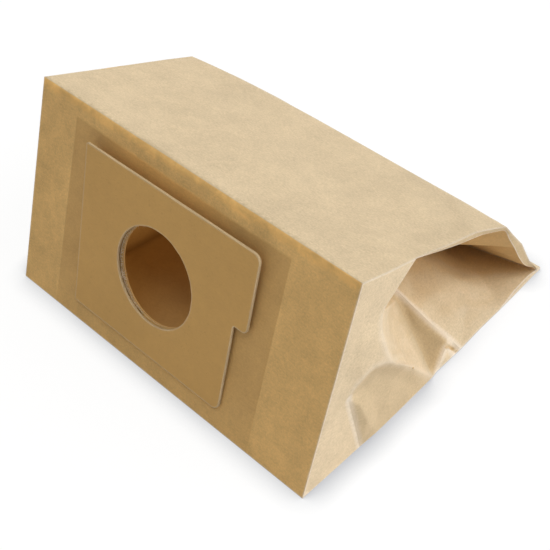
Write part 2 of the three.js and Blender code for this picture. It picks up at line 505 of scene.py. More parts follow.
# Points along a side's long edges, from the front to the far end
LOWER_EDGE = (
    "low_a crease_foot wedge_foot low_b low_c pinch tuck_low tuck_foot ridge_foot"
    " low_d low_e low_f hem_low"
)
UPPER_EDGE = "edge_a mouth_top edge_b edge_c edge_d edge_e rear_corner"
REAR_EDGE = "rear_a rear_b rear_c rear_d rear_e rear_f hem_top"

# Rear crease: place across the bag, and distance down the upper panel
REAR_CREASE = (
    (109, 127.2), (81, 127.6), (45, 127.4), (7, 127.2), (-24, 126.8),
    (-50, 125.7), (-74, 124.0), (-98, 121.0), (-112, 118.4),
)


def side_facets(net, sign, table, half_width, half_depth):
    """Adds one side of the bag: its flat front, the arch and pocket, and the two halves of the gusset."""
    mark = "near_" if sign > 0 else "far_"
    for name, (depth, height, inset) in table.items():
        net.add(mark + name, (sign * (half_width - inset), depth - half_depth, height))

    def named(words):
        return [mark + word for word in words.split()]

    def side_view(point):
        return (point[1], point[2])

    def plan_view(point):
        return (point[1], sign * point[0])

    corner_low, corner_up = mark + "corner_low", mark + "corner_up"
    arch = named("crease_top arch_a arch_b arch_c knee arch_d")
    arch_end = named("arch_e arch_f pinch")
    shoulder = named("ridge_corner shoulder_low shoulder_high bend")
    net.region(
        SIDE,
        [corner_low] + named("low_a crease_foot") + arch + shoulder
        + named("mouth_top edge_a") + [corner_up],
        side_view,
        inside=named("flat_mid flat_low"),
    )
    net.region(
        FACET,
        named("crease_foot wedge_foot low_b low_c") + arch_end[::-1] + arch[::-1],
        side_view,
        inside=named("belly_a belly_b belly_c belly_d wedge wedge_top wedge_side"),
    )

    # The pocket is a trough: its near wall curves in from the shoulder, its far wall climbs to the crest
    for words in (
        "bend valley_a trough_a hollow_a shoulder_high", "shoulder_high hollow_a hollow_b shoulder_low",
        "hollow_a trough_a trough_b hollow_b", "shoulder_low hollow_b hollow_c ridge_corner",
        "hollow_b trough_b trough_c hollow_c", "ridge_corner hollow_c hollow_d arch_d",
        "hollow_c trough_c trough_d hollow_d", "arch_d hollow_d hollow_e arch_e",
        "hollow_d trough_d trough_e hollow_e", "arch_e hollow_e arch_f", "hollow_e trough_e pinch arch_f",
    ):
        net.facet(SIDE, *named(words))
    for words in (
        "valley_a crest_a trough_a", "crest_a crest_b trough_b trough_a",
        "crest_b crest_c trough_c trough_b", "crest_c crest_d tuck trough_c", "tuck trough_d trough_c",
        "tuck tuck_mid trough_e trough_d", "tuck_mid tuck_low pinch trough_e",
    ):
        net.facet(POCKET, *named(words))

    # The small tuck at the foot of the crest, and the notch behind it
    for words in (
        "tuck_mid tuck_low tuck_foot tuck", "tuck tuck_foot notch", "notch tuck_foot ridge_foot",
        "tuck notch crest_e crest_d", "notch ridge_foot crest_e",
    ):
        net.facet(SIDE, *named(words))

    # Lower half of the gusset
    net.region(
        GUSSET,
        named(
            "ridge_foot low_d low_e floor_line_a floor_line_b closing closing_mid valley_c valley_b"
            " valley_a crest_a crest_b crest_c crest_d crest_e"
        ),
        plan_view,
        inside=named("lower_a lower_b lower_c lower_d lower_e"),
    )
    net.facet(GUSSET, *named("low_e low_f floor_line_a"))
    net.facet(GUSSET, *named("low_f hem_low floor_line_b floor_line_a"))
    net.facet(GUSSET, *named("hem_low closing floor_line_b"))

    # Upper half of the gusset, under the upper and rear panels
    net.facet(UNDERSIDE, *named("bend mouth_top valley_a"))
    for words in (
        "mouth_top lip_b valley_a", "lip_b lip_c valley_a", "lip_c valley_b valley_a",
        "lip_c lip_d valley_b", "lip_d lip_e valley_b", "lip_e pressed_b valley_b",
        "pressed_b pressed_c valley_b", "pressed_c valley_c valley_b", "pressed_c pressed_d valley_c",
        "pressed_d closing_mid valley_c", "pressed_d pressed_e closing_mid",
        "pressed_e pressed_f closing_mid", "pressed_f pressed_g closing_mid",
        "pressed_g closing closing_mid",
    ):
        net.facet(UNDERSIDE, *named(words))

    # The narrow lip that hangs from the upper edge and runs down the rear edge
    for words in (
        "mouth_top edge_b lip_b", "edge_b edge_c lip_c lip_b", "edge_c edge_d lip_d lip_c",
        "edge_d edge_e rear_corner lip_d", "rear_corner lip_e lip_d", "rear_corner rear_a pressed_b lip_e",
        "rear_a rear_b pressed_c pressed_b", "rear_b rear_c pressed_d pressed_c",
        "rear_c rear_d pressed_e pressed_d", "rear_d rear_e pressed_f pressed_e",
        "rear_e rear_f pressed_g pressed_f", "rear_f hem_top closing pressed_g",
    ):
        net.facet(LIP, *named(words))

    net.line(FOLD, corner_low, *named(LOWER_EDGE))
    net.line(FOLD, corner_low, corner_up, *named(UPPER_EDGE + " " + REAR_EDGE))
    net.line(PRESSED, *named("mouth_top lip_b lip_c lip_d lip_e pressed_b pressed_c pressed_d"))
    net.line(PRESSED, *named("pressed_d pressed_e pressed_f pressed_g closing"))
    net.line(PRESSED, *named("low_e floor_line_a floor_line_b closing"))
    net.line(FOLD, *named("closing closing_mid valley_c valley_b valley_a"))
    net.line(FOLD, *named("bend mouth_top"))
    net.line(RIDGE, *named("bend shoulder_high shoulder_low ridge_corner arch_d"))
    net.line(RIDGE, *(arch + arch_end))
    net.line(CREASE, *named("valley_a crest_a crest_b crest_c crest_d crest_e ridge_foot"))
    net.line(CREASE, *named("crease_top crease_foot"))
    net.line(CREASE, *named("tuck_low tuck_mid tuck tuck_foot"))
    net.line(TROUGH, *named("trough_a trough_b trough_c trough_d trough_e pinch"))
    net.line(DENT, *named("tuck notch"))


def round_the_bag(words, between=()):
    """Names of the near side's points in order, then what lies between, then the far side's in reverse."""
    names = words.split()
    return ["near_" + name for name in names] + list(between) + ["far_" + name for name in names[::-1]]


def build_net(paper, collar):
    """The whole bag as a net of large facets."""
    half_width = paper.width / MM / 2
    half_depth = paper.depth / MM / 2
    bottom_height = paper.bottom_height / MM
    lean, slope = paper.lean, paper.top_slope
    hem_depth, hem_height, end_height = half_depth - 4.4, 2.8, 1.7
    net = FoldNet()

    def on_block(x, up):
        return (x, up * math.sin(lean) - half_depth, up * math.cos(lean))

    def round_hole(name, reach, count):
        """Points evenly round the middle of the inlet hole, on the block bottom."""
        names = []
        for number in range(count):
            turn = 2 * math.pi * number / count
            x = collar.hole_offset / MM + reach * math.cos(turn)
            up = collar.hole_height / MM + reach * math.sin(turn)
            names.append(net.add("%s_%d" % (name, number), on_block(x, up)))
        return names

    def on_floor(name, spots):
        """Points on the lower panel, each at a place across, a depth from the front and a height."""
        return [
            net.add("%s_%d" % (name, number), (x, depth - half_depth, height))
            for number, (x, depth, height) in enumerate(spots)
        ]

    def block_view(point):
        return (point[0], point[2] / math.cos(lean))

    def plan_view(point):
        return (point[0], point[1])

    fold = on_block(0, bottom_height)
    for mark, sign in (("near_", 1), ("far_", -1)):
        net.add(mark + "corner_low", on_block(sign * half_width, 0))
        net.add(mark + "corner_up", on_block(sign * half_width, bottom_height))
    side_facets(net, 1, NEAR_SIDE, half_width, half_depth)
    side_facets(net, -1, FAR_SIDE, half_width, half_depth)

    # Block bottom with its inlet hole, and points that keep its facets even
    upper_fold = [
        net.add("fold_%d" % number, (x, fold[1], fold[2]))
        for number, x in enumerate((80, 40, 0, -40, -80))
    ]
    rim = round_hole("rim", collar.hole_radius / MM, 96)
    spread = round_hole("inner_ring", 36, 30) + round_hole("outer_ring", 47, 18)
    grid = [(x, up) for x in (-100, -76, 62, 82, 104) for up in (17, 51, 85, 119)]
    spread += [net.add("block_%d" % number, on_block(x, up)) for number, (x, up) in enumerate(grid)]
    block = ["far_corner_low", "near_corner_low", "near_corner_up"] + upper_fold + ["far_corner_up"]
    net.region(FRONT, block, block_view, hole=rim, inside=spread)

    # Upper panel, from the upper fold to the rear crease
    crease = []
    for number, (x, down) in enumerate(REAR_CREASE):
        place = (x, fold[1] + down * math.cos(slope), fold[2] - down * math.sin(slope))
        crease.append(net.add("crease_%d" % number, place))
    net.region(TOP, round_the_bag("corner_up " + UPPER_EDGE, crease) + upper_fold[::-1], plan_view)

    # The rear panel bellies out between its crease and the hem
    bellied = []
    for row, share in enumerate((0.22, 0.45, 0.68, 0.88)):
        for number, name in enumerate(crease):
            x, y, z = net.at(name)
            belly = 4 * share * (1 - share) * (4.2 if abs(x) < 90 else 5.0)
            y += (hem_depth - y) * share + belly * 0.87
            z += (hem_height - z) * share + belly * 0.5
            bellied.append(net.add("rear_%d_%d" % (row, number), (x, y, z)))
    hem = [
        net.add("hem_%d" % number, (net.at(name)[0], hem_depth, hem_height))
        for number, name in enumerate(crease)
    ]
    net.region(
        REAR,
        round_the_bag("rear_corner " + REAR_EDGE, hem) + crease[::-1],
        lambda point: (point[0], -point[2] * 1.5 + point[1] * 0.6),
        inside=bellied,
    )

    # Glued far end: a flat strip with its layers pressed together
    ends = []
    for mark, sign in (("near_", 1), ("far_", -1)):
        low = net.add(mark + "end_low", (sign * half_width, half_depth, 0))
        high = net.add(mark + "end_high", (sign * half_width, half_depth, end_height))
        net.facet(HEM, mark + "hem_low", low, high, mark + "hem_top", mark + "closing")
        ends.append((low, high))
    net.facet(HEM, ends[0][0], ends[1][0], ends[1][1], ends[0][1])
    net.region(HEM, ["near_hem_top", ends[0][1], ends[1][1], "far_hem_top"] + hem[::-1], plan_view)

    # Lower panel: inside, it buckles along a crease on the far side, and rises a little beyond it
    buckle = on_floor("buckle", ((-88, 36, 0), (-85.5, 53, 0), (-82, 66, 0), (-80, 80, 0), (-78, 98, 0)))
    rise = on_floor("rise", ((-101, 48, 4.5), (-99, 62, 6.5), (-98, 76, 7.0), (-98, 90, 4.5)))
    spread = on_floor(
        "floor", [(x, depth, 0) for x in range(-50, 101, 25) for depth in range(16, 185, 28)]
    )
    spread += on_floor("far_floor", [(x, depth, 0) for x in (-102, -76) for depth in (16, 128, 156, 184)])
    net.region(
        BOTTOM,
        round_the_bag("corner_low " + LOWER_EDGE + " end_low"),
        plan_view,
        inside=buckle + rise + spread,
    )
    net.line(CREASE, *buckle)

    net.line(BROW, "near_corner_up", *upper_fold, "far_corner_up")
    net.line(FOLD, "near_corner_low", "far_corner_low")
    net.line(FOLD, "near_rear_corner", *crease, "far_rear_corner")
    net.line(PRESSED, "near_hem_top", *hem, "far_hem_top")
    net.line(FOLD, "near_hem_low", "near_end_low", "far_end_low", "far_hem_low")
    net.line(FOLD, "near_hem_top", "near_end_high", "far_end_high", "far_hem_top")
    net.line(FOLD, "near_end_low", "near_end_high")
    net.line(FOLD, "far_end_low", "far_end_high")
    net.line(CUT, *rim, rim[0])
    return net


def refine(net, longest):
    """Halves every edge that is longer than longest(middle) until none is, and carries the lines along."""
    points, facets, lines = net.points, net.facets, net.lines
    while True:
        middles = {}
        for facet in facets:
            for pair in ((facet[0], facet[1]), (facet[1], facet[2]), (facet[2], facet[0])):
                key = pair if pair[0] < pair[1] else (pair[1], pair[0])
                if key in middles:
                    continue
                first, second = points[key[0]], points[key[1]]
                middle = tuple((a + b) / 2 for a, b in zip(first, second))
                middles[key] = middle if math.dist(first, second) > longest(middle) else None
        split = {}
        for key, middle in middles.items():
            if middle is None:
                continue
            split[key] = len(points)
            points.append(middle)
            kind = lines.pop(key, None)
            if kind:
                lines[(key[0], split[key])] = kind
                lines[(key[1], split[key])] = kind
        if not split:
            return
        finer = []
        for i, j, k, panel in facets:
            cut = [split.get((min(a, b), max(a, b))) for a, b in ((i, j), (j, k), (k, i))]
            count = sum(one is not None for one in cut)
            if count == 0:
                finer.append((i, j, k, panel))
                continue
            if count == 3:
                finer += [(i, cut[0], cut[2], panel), (cut[0], j, cut[1], panel)]
                finer += [(cut[2], cut[1], k, panel), (cut[0], cut[1], cut[2], panel)]
                continue
            start = next(
                turn for turn in range(3)
                if cut[turn] is not None and (count == 1 or cut[(turn + 1) % 3] is not None)
            )
            a, b, c = ((i, j, k)[(start + turn) % 3] for turn in range(3))
            first = cut[start]
            if count == 1:
                finer += [(a, first, c, panel), (first, b, c, panel)]
                continue
            second = cut[(start + 1) % 3]
            finer.append((first, b, second, panel))
            if math.dist(points[a], points[second]) < math.dist(points[first], points[c]):
                finer += [(a, first, second, panel), (a, second, c, panel)]
            else:
                finer += [(a, first, c, panel), (first, second, c, panel)]
        facets[:] = finer


def averaged(places, first, second):
    """For each point, the mean of those that the pairs join it to, and how many there are."""
    total = np.zeros_like(places)
    count = np.zeros(len(places))
    for a, b in ((first, second), (second, first)):
        np.add.at(total, a, places[b])
        np.add.at(count, a, 1)
    return total / np.maximum(count, 1)[:, None], count


def relax(places, facets, lines, rounds):
    """Rounds the soft ridges and smooths the lines along themselves. Folds and the rim keep their place."""
    triangles = np.array([facet[:3] for facet in facets])
    pairs = np.concatenate([triangles[:, [0, 1]], triangles[:, [1, 2]], triangles[:, [2, 0]]])
    pairs = np.unique(np.sort(pairs, axis=1), axis=0)
    lined = np.array([pair for pair, kind in lines.items() if kind not in (CUT, TROUGH, DENT)])
    freedom = np.ones(len(places))
    give = {BROW: 0.10, RIDGE: 0.05, TROUGH: 1.0}
    for pair, kind in lines.items():
        for end in pair:
            freedom[end] = min(freedom[end], give.get(kind, 0.0))
    _, joints = averaged(places, lined[:, 0], lined[:, 1])
    along = joints == 2
    for pair, kind in lines.items():
        if kind == CUT:
            along[list(pair)] = False
    for _ in range(rounds):
        mean, _ = averaged(places, pairs[:, 0], pairs[:, 1])
        line_mean, _ = averaged(places, lined[:, 0], lined[:, 1])
        moved = places + (mean - places) * freedom[:, None] * 0.6
        moved[along] += (line_mean[along] - places[along]) * 0.3
        places = moved
    return places


def distance_to_lines(places, lines, kinds):
    """Distance from each point to the nearest line of these kinds."""
    marks = []
    for (first, second), kind in lines.items():
        if kind in kinds:
            for share in (0.0, 0.25, 0.5, 0.75, 1.0):
                marks.append(places[first] + (places[second] - places[first]) * share)
    tree = kdtree.KDTree(len(marks))
    for number, mark in enumerate(marks):
        tree.insert(mark, number)
    tree.balance()
    return np.array([tree.find(place)[2] for place in places])


def shelter(places, normals, triangles, chosen):
    """How much of the sky each chosen point loses to the paper round it, from 0 to 1."""
    tree = bvhtree.BVHTree.FromPolygons(places.tolist(), triangles.tolist())
    golden = math.pi * (3 - math.sqrt(5))
    count, lift, sight = 24, 0.4, 60.0
    rays = []
    for step in range(count):
        height = 1 - (step + 0.5) / count
        reach = math.sqrt(1 - height * height)
        rays.append(Vector((reach * math.cos(golden * step), reach * math.sin(golden * step), height)))
    hidden = np.zeros(len(places))
    for number in chosen:
        normal = Vector(normals[number])
        turn = Vector((0, 0, 1)).rotation_difference(normal)
        start = Vector(places[number]) + normal * lift
        hits = sum(tree.ray_cast(start, turn @ ray, sight)[0] is not None for ray in rays)
        hidden[number] = hits / count
    return hidden


def surface_normals(places, triangles):
    """The normal at each point, from the triangles round it."""
    first, second, third = (places[triangles[:, corner]] for corner in range(3))
    cross = np.cross(second - first, third - first)
    normals = np.zeros_like(places)
    for corner in range(3):
        np.add.at(normals, triangles[:, corner], cross)
    return normals / np.maximum(np.linalg.norm(normals, axis=1), 1e-9)[:, None]


def waves(places, length, seed):
    """Smooth noise at each point, with waves about as long as length."""
    shift = Vector((seed * 13.7, seed * 7.1, seed * 3.3))
    return np.array([noise.noise(Vector(place) / length + shift) for place in places])


def new_object(name, data):
    piece = bpy.data.objects.new(name, data)
    bpy.context.scene.collection.objects.link(piece)
    return piece


def sheet_layout(paper, place, panel):
    """Where a point of a panel lies on the flat paper, in metres, for the run of the fibres."""
    x, y, z = place
    depth = y + paper.depth / 2
    fold_height, rear_start, side_start = 0.125, 0.26, (0.2, 0.5)
    if panel == FRONT:
        return (x, z / math.cos(paper.lean))
    if panel == TOP:
        return (x, paper.bottom_height + math.hypot(depth, z - fold_height))
    if panel in (REAR, HEM):
        return (x, rear_start - z * 1.1)
    if panel == BOTTOM:
        return (x, -depth)
    return (side_start[0] + depth, side_start[1] + z + 0.7 * (paper.width / 2 - abs(x)))


def patched_kraft(finish, kraft, height, sheet, tone, cloud, blotch, colour, patched):
    """Darkens the kraft where the inner patch shows through, paints light on it above the middle of the
    card, and gives it a patchy gold under the upper fold.
    """
    left, right, top, foot = -0.0891, 0.0779, 0.1262, 0.006
    x, up = finish.axis(sheet, "X"), finish.axis(sheet, "Y")
    ragged = finish.grain(finish.place, 260.0, 2.0) * 0.0005
    sides = ((x - left + ragged) / 0.0007).clamped() * ((right - x + ragged) / 0.0007).clamped()
    upper = ((top - up + ragged) / 0.0016).clamped()
    fade = ((up - foot) / 0.03 + cloud).clamped() * 0.6 + 0.4
    share = sides * upper * fade
    dark = finish.mixed(tone, shade(patched, 0.84), shade(patched, 1.13))

    # Painted light: above the middle of the card the patched paper is made a warmer, lighter gold, lifting
    # the shade just above the card's raised upper edge
    card_middle, card_reach, light_start = -0.013, 0.05, 0.110
    painted_light = (patched[0] * 1.34, patched[1] * 1.27, patched[2] * 1.14)
    across = (x - card_middle) / card_reach
    near_middle = (1.15 - across * across).clamped() * ((up - light_start) / 0.012).clamped()
    dark = finish.mixed(near_middle, dark, finish.mixed(tone, shade(painted_light, 0.84), shade(painted_light, 1.13)))
    kraft = finish.mixed(share, kraft, dark)

    # Close under the rounded upper fold the paper turns a patchy, deeper gold
    band = ((6.0 - finish.attribute("brow_mm") + blotch * 9.0) / 3.0).clamped()
    gold = (colour[0] * 1.08, colour[1] * 1.02, colour[2] * 0.88)
    patchy = finish.mixed((blotch * 2.4 + 0.5).clamped(), shade(gold, 0.84), shade(gold, 1.27))
    return finish.mixed(band * 0.6, kraft, patchy), height + share * 0.7


def kraft_finish(name, paper, colour, patched=None):
    """Kraft paper: cloudy colour, short fibres, paler folds that are partly wear and partly painted
    highlight, painted highlights on the ridges, and painted shade deep in the folds.
    """
    finish = Finish(name)
    sheet = finish.node("ShaderNodeUVMap", {"uv_map": "sheet"})
    cloud = finish.grain(finish.place, 24.0, 3.0, 0.6)
    blotch = finish.grain(finish.place, 95.0, 3.0, 0.6, 0.6)
    fine = finish.grain(finish.place, 900.0, 3.0, 0.65)
    fibre = finish.grain(finish.scaled(sheet, (340, 1200, 1)), 1.0, 3.0, 0.6, 0.4)
    clouding = 0.5 if patched is None else 0.8
    tone = (cloud * clouding + blotch * (clouding * 0.9) + fine * 1.1 + fibre * 0.65 + 0.5).clamped()
    kraft = finish.mixed(tone, shade(colour, 0.76), shade(colour, 1.22))
    height = fine * 0.55 + fibre * 0.35 + blotch * 0.6
    if patched is not None:
        kraft, height = patched_kraft(finish, kraft, height, sheet, tone, cloud, blotch, colour, patched)

    # Painted shade: darker, more saturated kraft where the folds hide the sky, and a darker multiply where
    # the paper is bent away from the light
    shelter_here, painted_shade = finish.attribute("shelter"), finish.attribute("painted_shade")
    deep = ((shelter_here - 0.22) / 0.55).clamped()
    deepest = ((shelter_here - 0.62) / 0.3).clamped() * 0.8
    for part, inside in ((deep, paper.painted_shade_colour), (deepest, paper.painted_deep_shade_colour)):
        kraft = finish.mixed(part, kraft, finish.mixed(tone, shade(inside, 0.82), shade(inside, 1.16)))
    kraft = finish.mixed(painted_shade, kraft, (0.78, 0.775, 0.745, 1.0), "MULTIPLY")

    # Paler lines: along factory folds, pressed lines and sharp creases they are partly wear of the paper and
    # partly painted highlight; along the soft ridges they are painted highlight
    fold_wear_and_highlight = ((1.05 - finish.attribute("fold_mm") + fine * 1.4) / 0.8).clamped()
    pressed = ((0.55 - finish.attribute("pressed_mm") + fine * 0.5) / 0.45).clamped()
    painted_light = ((4.2 - finish.attribute("ridge_mm") + blotch * 4.0) / 4.2).clamped()
    crisp = ((3.2 - finish.attribute("crease_mm") + fine * 1.5) / 2.4).clamped() * (1.0 - painted_shade * 0.6)
    share = (pressed * 0.7 + fold_wear_and_highlight * 0.42 + painted_light * 0.22 + crisp * 0.46).clamped()
    pale = shade(tuple(part * 0.6 + 0.36 for part in paper.upper_colour), 1.0)
    colours = finish.mixed(share, kraft, pale)
    roughness = 0.80 + fine * 0.16 - share * 0.08
    return finish.done(colours, roughness, height, 0.00022)


def lining_finish(name, colour, glow, folded=True):
    """Inner ply: plain kraft with a painted glow that stands in for light through the paper, and, when
    folded, painted shade along its creases.
    """
    finish = Finish(name)
    blotch = finish.grain(finish.place, 60.0, 4.0, 0.6, 0.5)
    fine = finish.grain(finish.place, 700.0, 3.0, 0.6)
    tone = (blotch * 0.8 + fine * 0.6 + 0.5).clamped()
    colours = finish.mixed(tone, shade(colour, 0.8), shade(colour, 1.18))
    painted_glow = finish.mixed(tone, shade(glow, 0.82), shade(glow, 1.18))
    if folded:
        # Painted shade: the lining darkens along its creases, and its painted glow dims there
        crease = ((4.5 - finish.attribute("crease_mm") + blotch * 2.0) / 4.5).clamped()
        painted_glow = finish.mixed(finish.attribute("painted_glow_share") * (1.0 - crease * 0.5), (0.0, 0.0, 0.0, 1.0), painted_glow)
        colours = finish.mixed(crease * 0.5, colours, shade(colour, 0.45))
    return finish.done(colours, 0.85 + fine * 0.1, fine * 0.6 + blotch, 0.0002, painted_glow)


def ply_finish(name, colour, normal):
    """Cut edge: thin plies that follow the sheet, with torn paler fibres."""
    finish = Finish(name)
    across = finish.node(
        "ShaderNodeVectorMath", {"operation": "DOT_PRODUCT"}, {0: finish.place, 1: normal}, output="Value"
    )
    ragged = finish.grain(finish.place, 380.0, 3.0, 0.6)
    fine = finish.grain(finish.place, 1900.0, 2.0)
    plies = (across * 11500.0 + ragged * 3.2).sine() * 0.5 + 0.5
    tone = (plies * 0.5 + fine * 0.7 + 0.25).clamped()
    colours = finish.mixed(tone, shade(colour, 0.66), shade(colour, 1.16))
    return finish.done(colours, 0.9 + fine * 0.08, plies * 0.7 + fine, 0.00015)


def card_finish(name, colour):
    """Face of the card: smooth brown board with fine flecks and a faint lengthwise grain."""
    finish = Finish(name)
    cloud = finish.grain(finish.place, 18.0, 3.0, 0.55)
    blotch = finish.grain(finish.place, 130.0, 3.0, 0.6)
    fine = finish.grain(finish.scaled(finish.place, (500, 1300, 1300)), 1.0, 3.0, 0.65)
    fleck = ((finish.grain(finish.place, 560.0, 1.0) - 0.19) / 0.05).clamped()
    tone = (cloud * 0.5 + blotch * 0.35 + fine * 0.6 + 0.5).clamped()
    colours = finish.mixed(tone, shade(colour, 0.84), shade(colour, 1.14))
    colours = finish.mixed(fleck * 0.22, colours, shade(colour, 0.62))
    edge = ((0.9 - finish.attribute("rim_mm") + fine * 1.0) / 0.9).clamped()
    colours = finish.mixed(edge * 0.35, colours, shade(tuple(part * 0.6 + 0.3 for part in colour), 1.0))
    return finish.done(colours, 0.72 + fine * 0.14, fine * 0.6 + blotch * 0.6, 0.00012)


def store(mesh, name, values):
    """Keeps a number for each point of a mesh, for its finish to read."""
    layer = mesh.attributes.new(name, "FLOAT", "POINT")
    layer.data.foreach_set("value", np.asarray(values, dtype=np.float32))


def finished_net(paper, collar):
    """The net cut fine enough to bend, its smoothed points in millimetres, and its facets' panels."""
    net = build_net(paper, collar)
    fine, coarse = paper.fine_step / MM, paper.coarse_step / MM
    notch, notch_reach = net.at("near_notch"), 11
    side_start, side_front, floor_height = 90, -80, 0.6

    def longest(place):
        if math.dist(place, notch) < notch_reach:
            return fine / 2
        if place[2] < floor_height and abs(place[0]) < side_start + 6:
            return coarse * 1.6
        return fine if place[0] > side_start and place[1] > side_front else coarse

    refine(net, longest)
    places = relax(np.array(net.points), net.facets, net.lines, 5)
    return net, places, np.array([facet[3] for facet in net.facets])


def facet_mesh(name, places, facets):
    """A mesh of the facets with all faces outwards, and its triangles."""
    mesh = bpy.data.meshes.new(name)
    mesh.from_pydata(places.tolist(), [], [facet[:3] for facet in facets])
    turned = bmesh.new()
    turned.from_mesh(mesh)
    bmesh.ops.recalc_face_normals(turned, faces=turned.faces)
    turned.to_mesh(mesh)
    turned.free()
    triangles = np.zeros(len(mesh.polygons) * 3, dtype=np.int32)
    mesh.polygons.foreach_get("vertices", triangles)
    return mesh, triangles.reshape(-1, 3)


def points_of(triangles, panels, *chosen):
    """The points that the chosen panels' triangles use."""
    return np.unique(triangles[np.isin(panels, chosen)])


def swollen(paper, places, normals, triangles, panels, gaps):
    """The paper with slow waves that die out at the folds, and press inwards behind the card."""
    room = np.minimum(np.minimum(gaps[FOLD], gaps[PRESSED]), gaps[BROW])
    height = paper.waviness / MM
    swell = waves(places, 42, 3) * height + waves(places, 15, 5) * height * 0.28
    for spots, depth in (
        (points_of(triangles, panels, FRONT), 0.45), (points_of(triangles, panels, BOTTOM, HEM), 0.35)
    ):
        swell[spots] = -np.abs(swell[spots]) * depth
    places = places + normals * (swell * np.clip(room / 14, 0, 1) ** 1.3)[:, None]

    # The rounded upper fold dips in small ripples, away from its ends
    ripple = waves(places, 7.5, 8) * np.clip(1 - gaps[BROW] / 4, 0, 1) * np.clip((gaps[FOLD] - 2) / 6, 0, 1)
    return places + np.array([0.0, 0.39, -0.92]) * (np.abs(ripple) * 0.55)[:, None]


def weathering(paper, net, places, normals, triangles, panels, gaps):
    """How much sky each point of the paper loses, where painted shade darkens it, and how much painted glow
    its lining gets, with distances in millimetres.
    """
    inner = points_of(triangles, panels, GUSSET, SIDE, POCKET, LIP)
    shade_depth = shelter(places, normals, triangles, inner)
    # Painted shade: the facet and the pocket count as hidden from more of the sky than they are
    for panel in (FACET, POCKET):
        spots = points_of(triangles, panels, panel)
        shade_depth[spots] = np.minimum(shade_depth[spots] + 0.4, 0.6)

    # Painted shade where the paper is bent away from the light: the hollow of the pocket, the facet under
    # the arch, the pocket wall and the gusset's lower half beyond the crest
    painted_shade = np.clip(1 - distance_to_lines(places, net.lines, {TROUGH}) / 13, 0, 1)
    below = points_of(triangles, panels, FACET)
    painted_shade[below] = 0.15 + 0.45 * np.clip(gaps[RIDGE][below] / 16, 0, 1)
    wall = points_of(triangles, panels, POCKET)
    painted_shade[wall] = 0.1 + 0.9 * np.clip((gaps[CREASE][wall] - 0.8) / 4.5, 0, 1)
    slope = points_of(triangles, panels, GUSSET)
    beyond = gaps[CREASE][slope]
    painted_shade[slope] = 0.62 * np.clip(beyond / 7, 0, 1) * np.clip(1 - beyond / 50, 0, 1)
    # Painted shade on the lip that hangs under the upper panel
    lip = points_of(triangles, panels, LIP)
    painted_shade[lip] = 0.3
    shade_depth[lip] = np.maximum(shade_depth[lip], 0.45)
    # Painted shade in the small dent behind the tuck
    dent = np.clip(1.7 - distance_to_lines(places, net.lines, {DENT}), 0, 1)
    painted_shade = np.maximum(painted_shade, dent)
    shade_depth = np.maximum(shade_depth, dent * 0.9)
    # Painted shade on the gusset's upper half, which faces down under the upper panel
    under = points_of(triangles, panels, UNDERSIDE)
    shade_depth[under] = np.maximum(shade_depth[under], 0.84)

    # Share of the lining's painted glow, which stands in for light through the paper: less on the lower
    # panel, least of all away from its front, more where it rises
    painted_glow_share = np.ones(len(places))
    lowest = points_of(triangles, panels, BOTTOM)
    deeper = np.clip((places[lowest, 1] + paper.depth / MM / 2 - 40) / 16, 0, 1)
    risen = np.clip(places[lowest, 2] / 5, 0, 1)
    painted_glow_share[lowest] = 0.42 - 0.34 * deeper * (1 - risen) + 0.5 * risen
    return {"shelter": shade_depth, "painted_shade": painted_shade, "painted_glow_share": painted_glow_share}


def thickened(context, mesh, paper):
    """The sheet as a closed wall that grows inwards, standing on the floor."""
    shell = new_object("bag_shell", mesh)
    wall = shell.modifiers.new("Wall", "SOLIDIFY")
    wall.thickness = paper.wall
    wall.offset = -1.0
    wall.use_even_offset = False
    wall.material_offset = 2
    wall.material_offset_rim = 4
    context.view_layer.update()
    solid = bpy.data.meshes.new_from_object(shell.evaluated_get(context.evaluated_depsgraph_get()))
    bpy.data.objects.remove(shell)
    spots = np.zeros(len(solid.vertices) * 3, dtype=np.float32)
    solid.vertices.foreach_get("co", spots)
    spots[2::3] = np.maximum(spots[2::3], 0.0)
    solid.vertices.foreach_set("co", spots)
    solid.update()
    return solid


